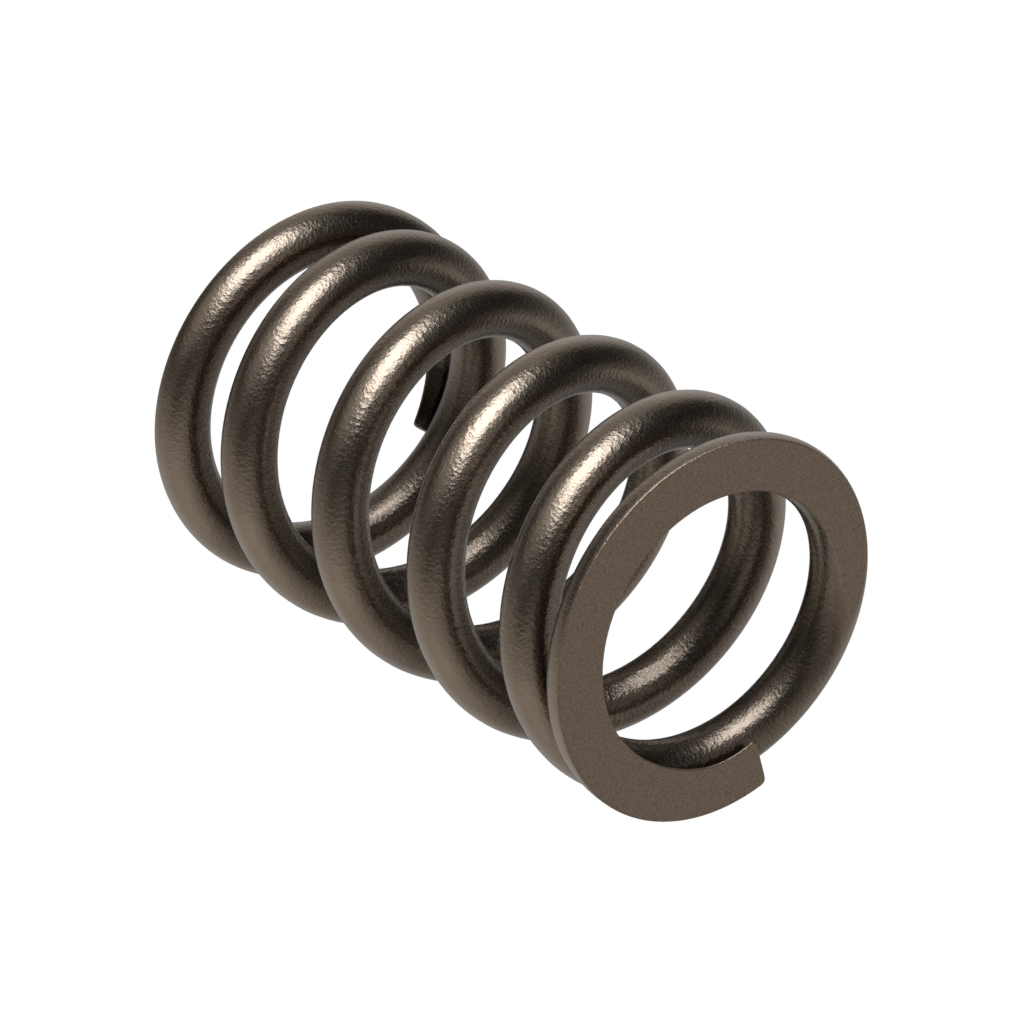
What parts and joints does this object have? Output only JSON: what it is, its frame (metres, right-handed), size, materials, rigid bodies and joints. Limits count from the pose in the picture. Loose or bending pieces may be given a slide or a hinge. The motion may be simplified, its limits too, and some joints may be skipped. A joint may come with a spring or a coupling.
{
  "type": "engine valve spring",
  "caption": "Helical compression spring of round steel wire, closed and ground flat at both ends, that pushes a valve back onto its seating.",
  "frame": {"origin": "centre of the bottom ground face, on the coil axis", "axes": "+Z along the coil axis, from the bottom ground face up to the top one; the wire climbs right-handed, and its bottom tip ends just past +Y"},
  "size_m": [0.0324, 0.0325, 0.053],
  "materials": {
    "spring_steel": "shot peened, brown-grey satin, with matt ground ends"
  },
  "bodies": {
    "root": {"valve_spring": "spring_steel"}
  },
  "joints": []
}
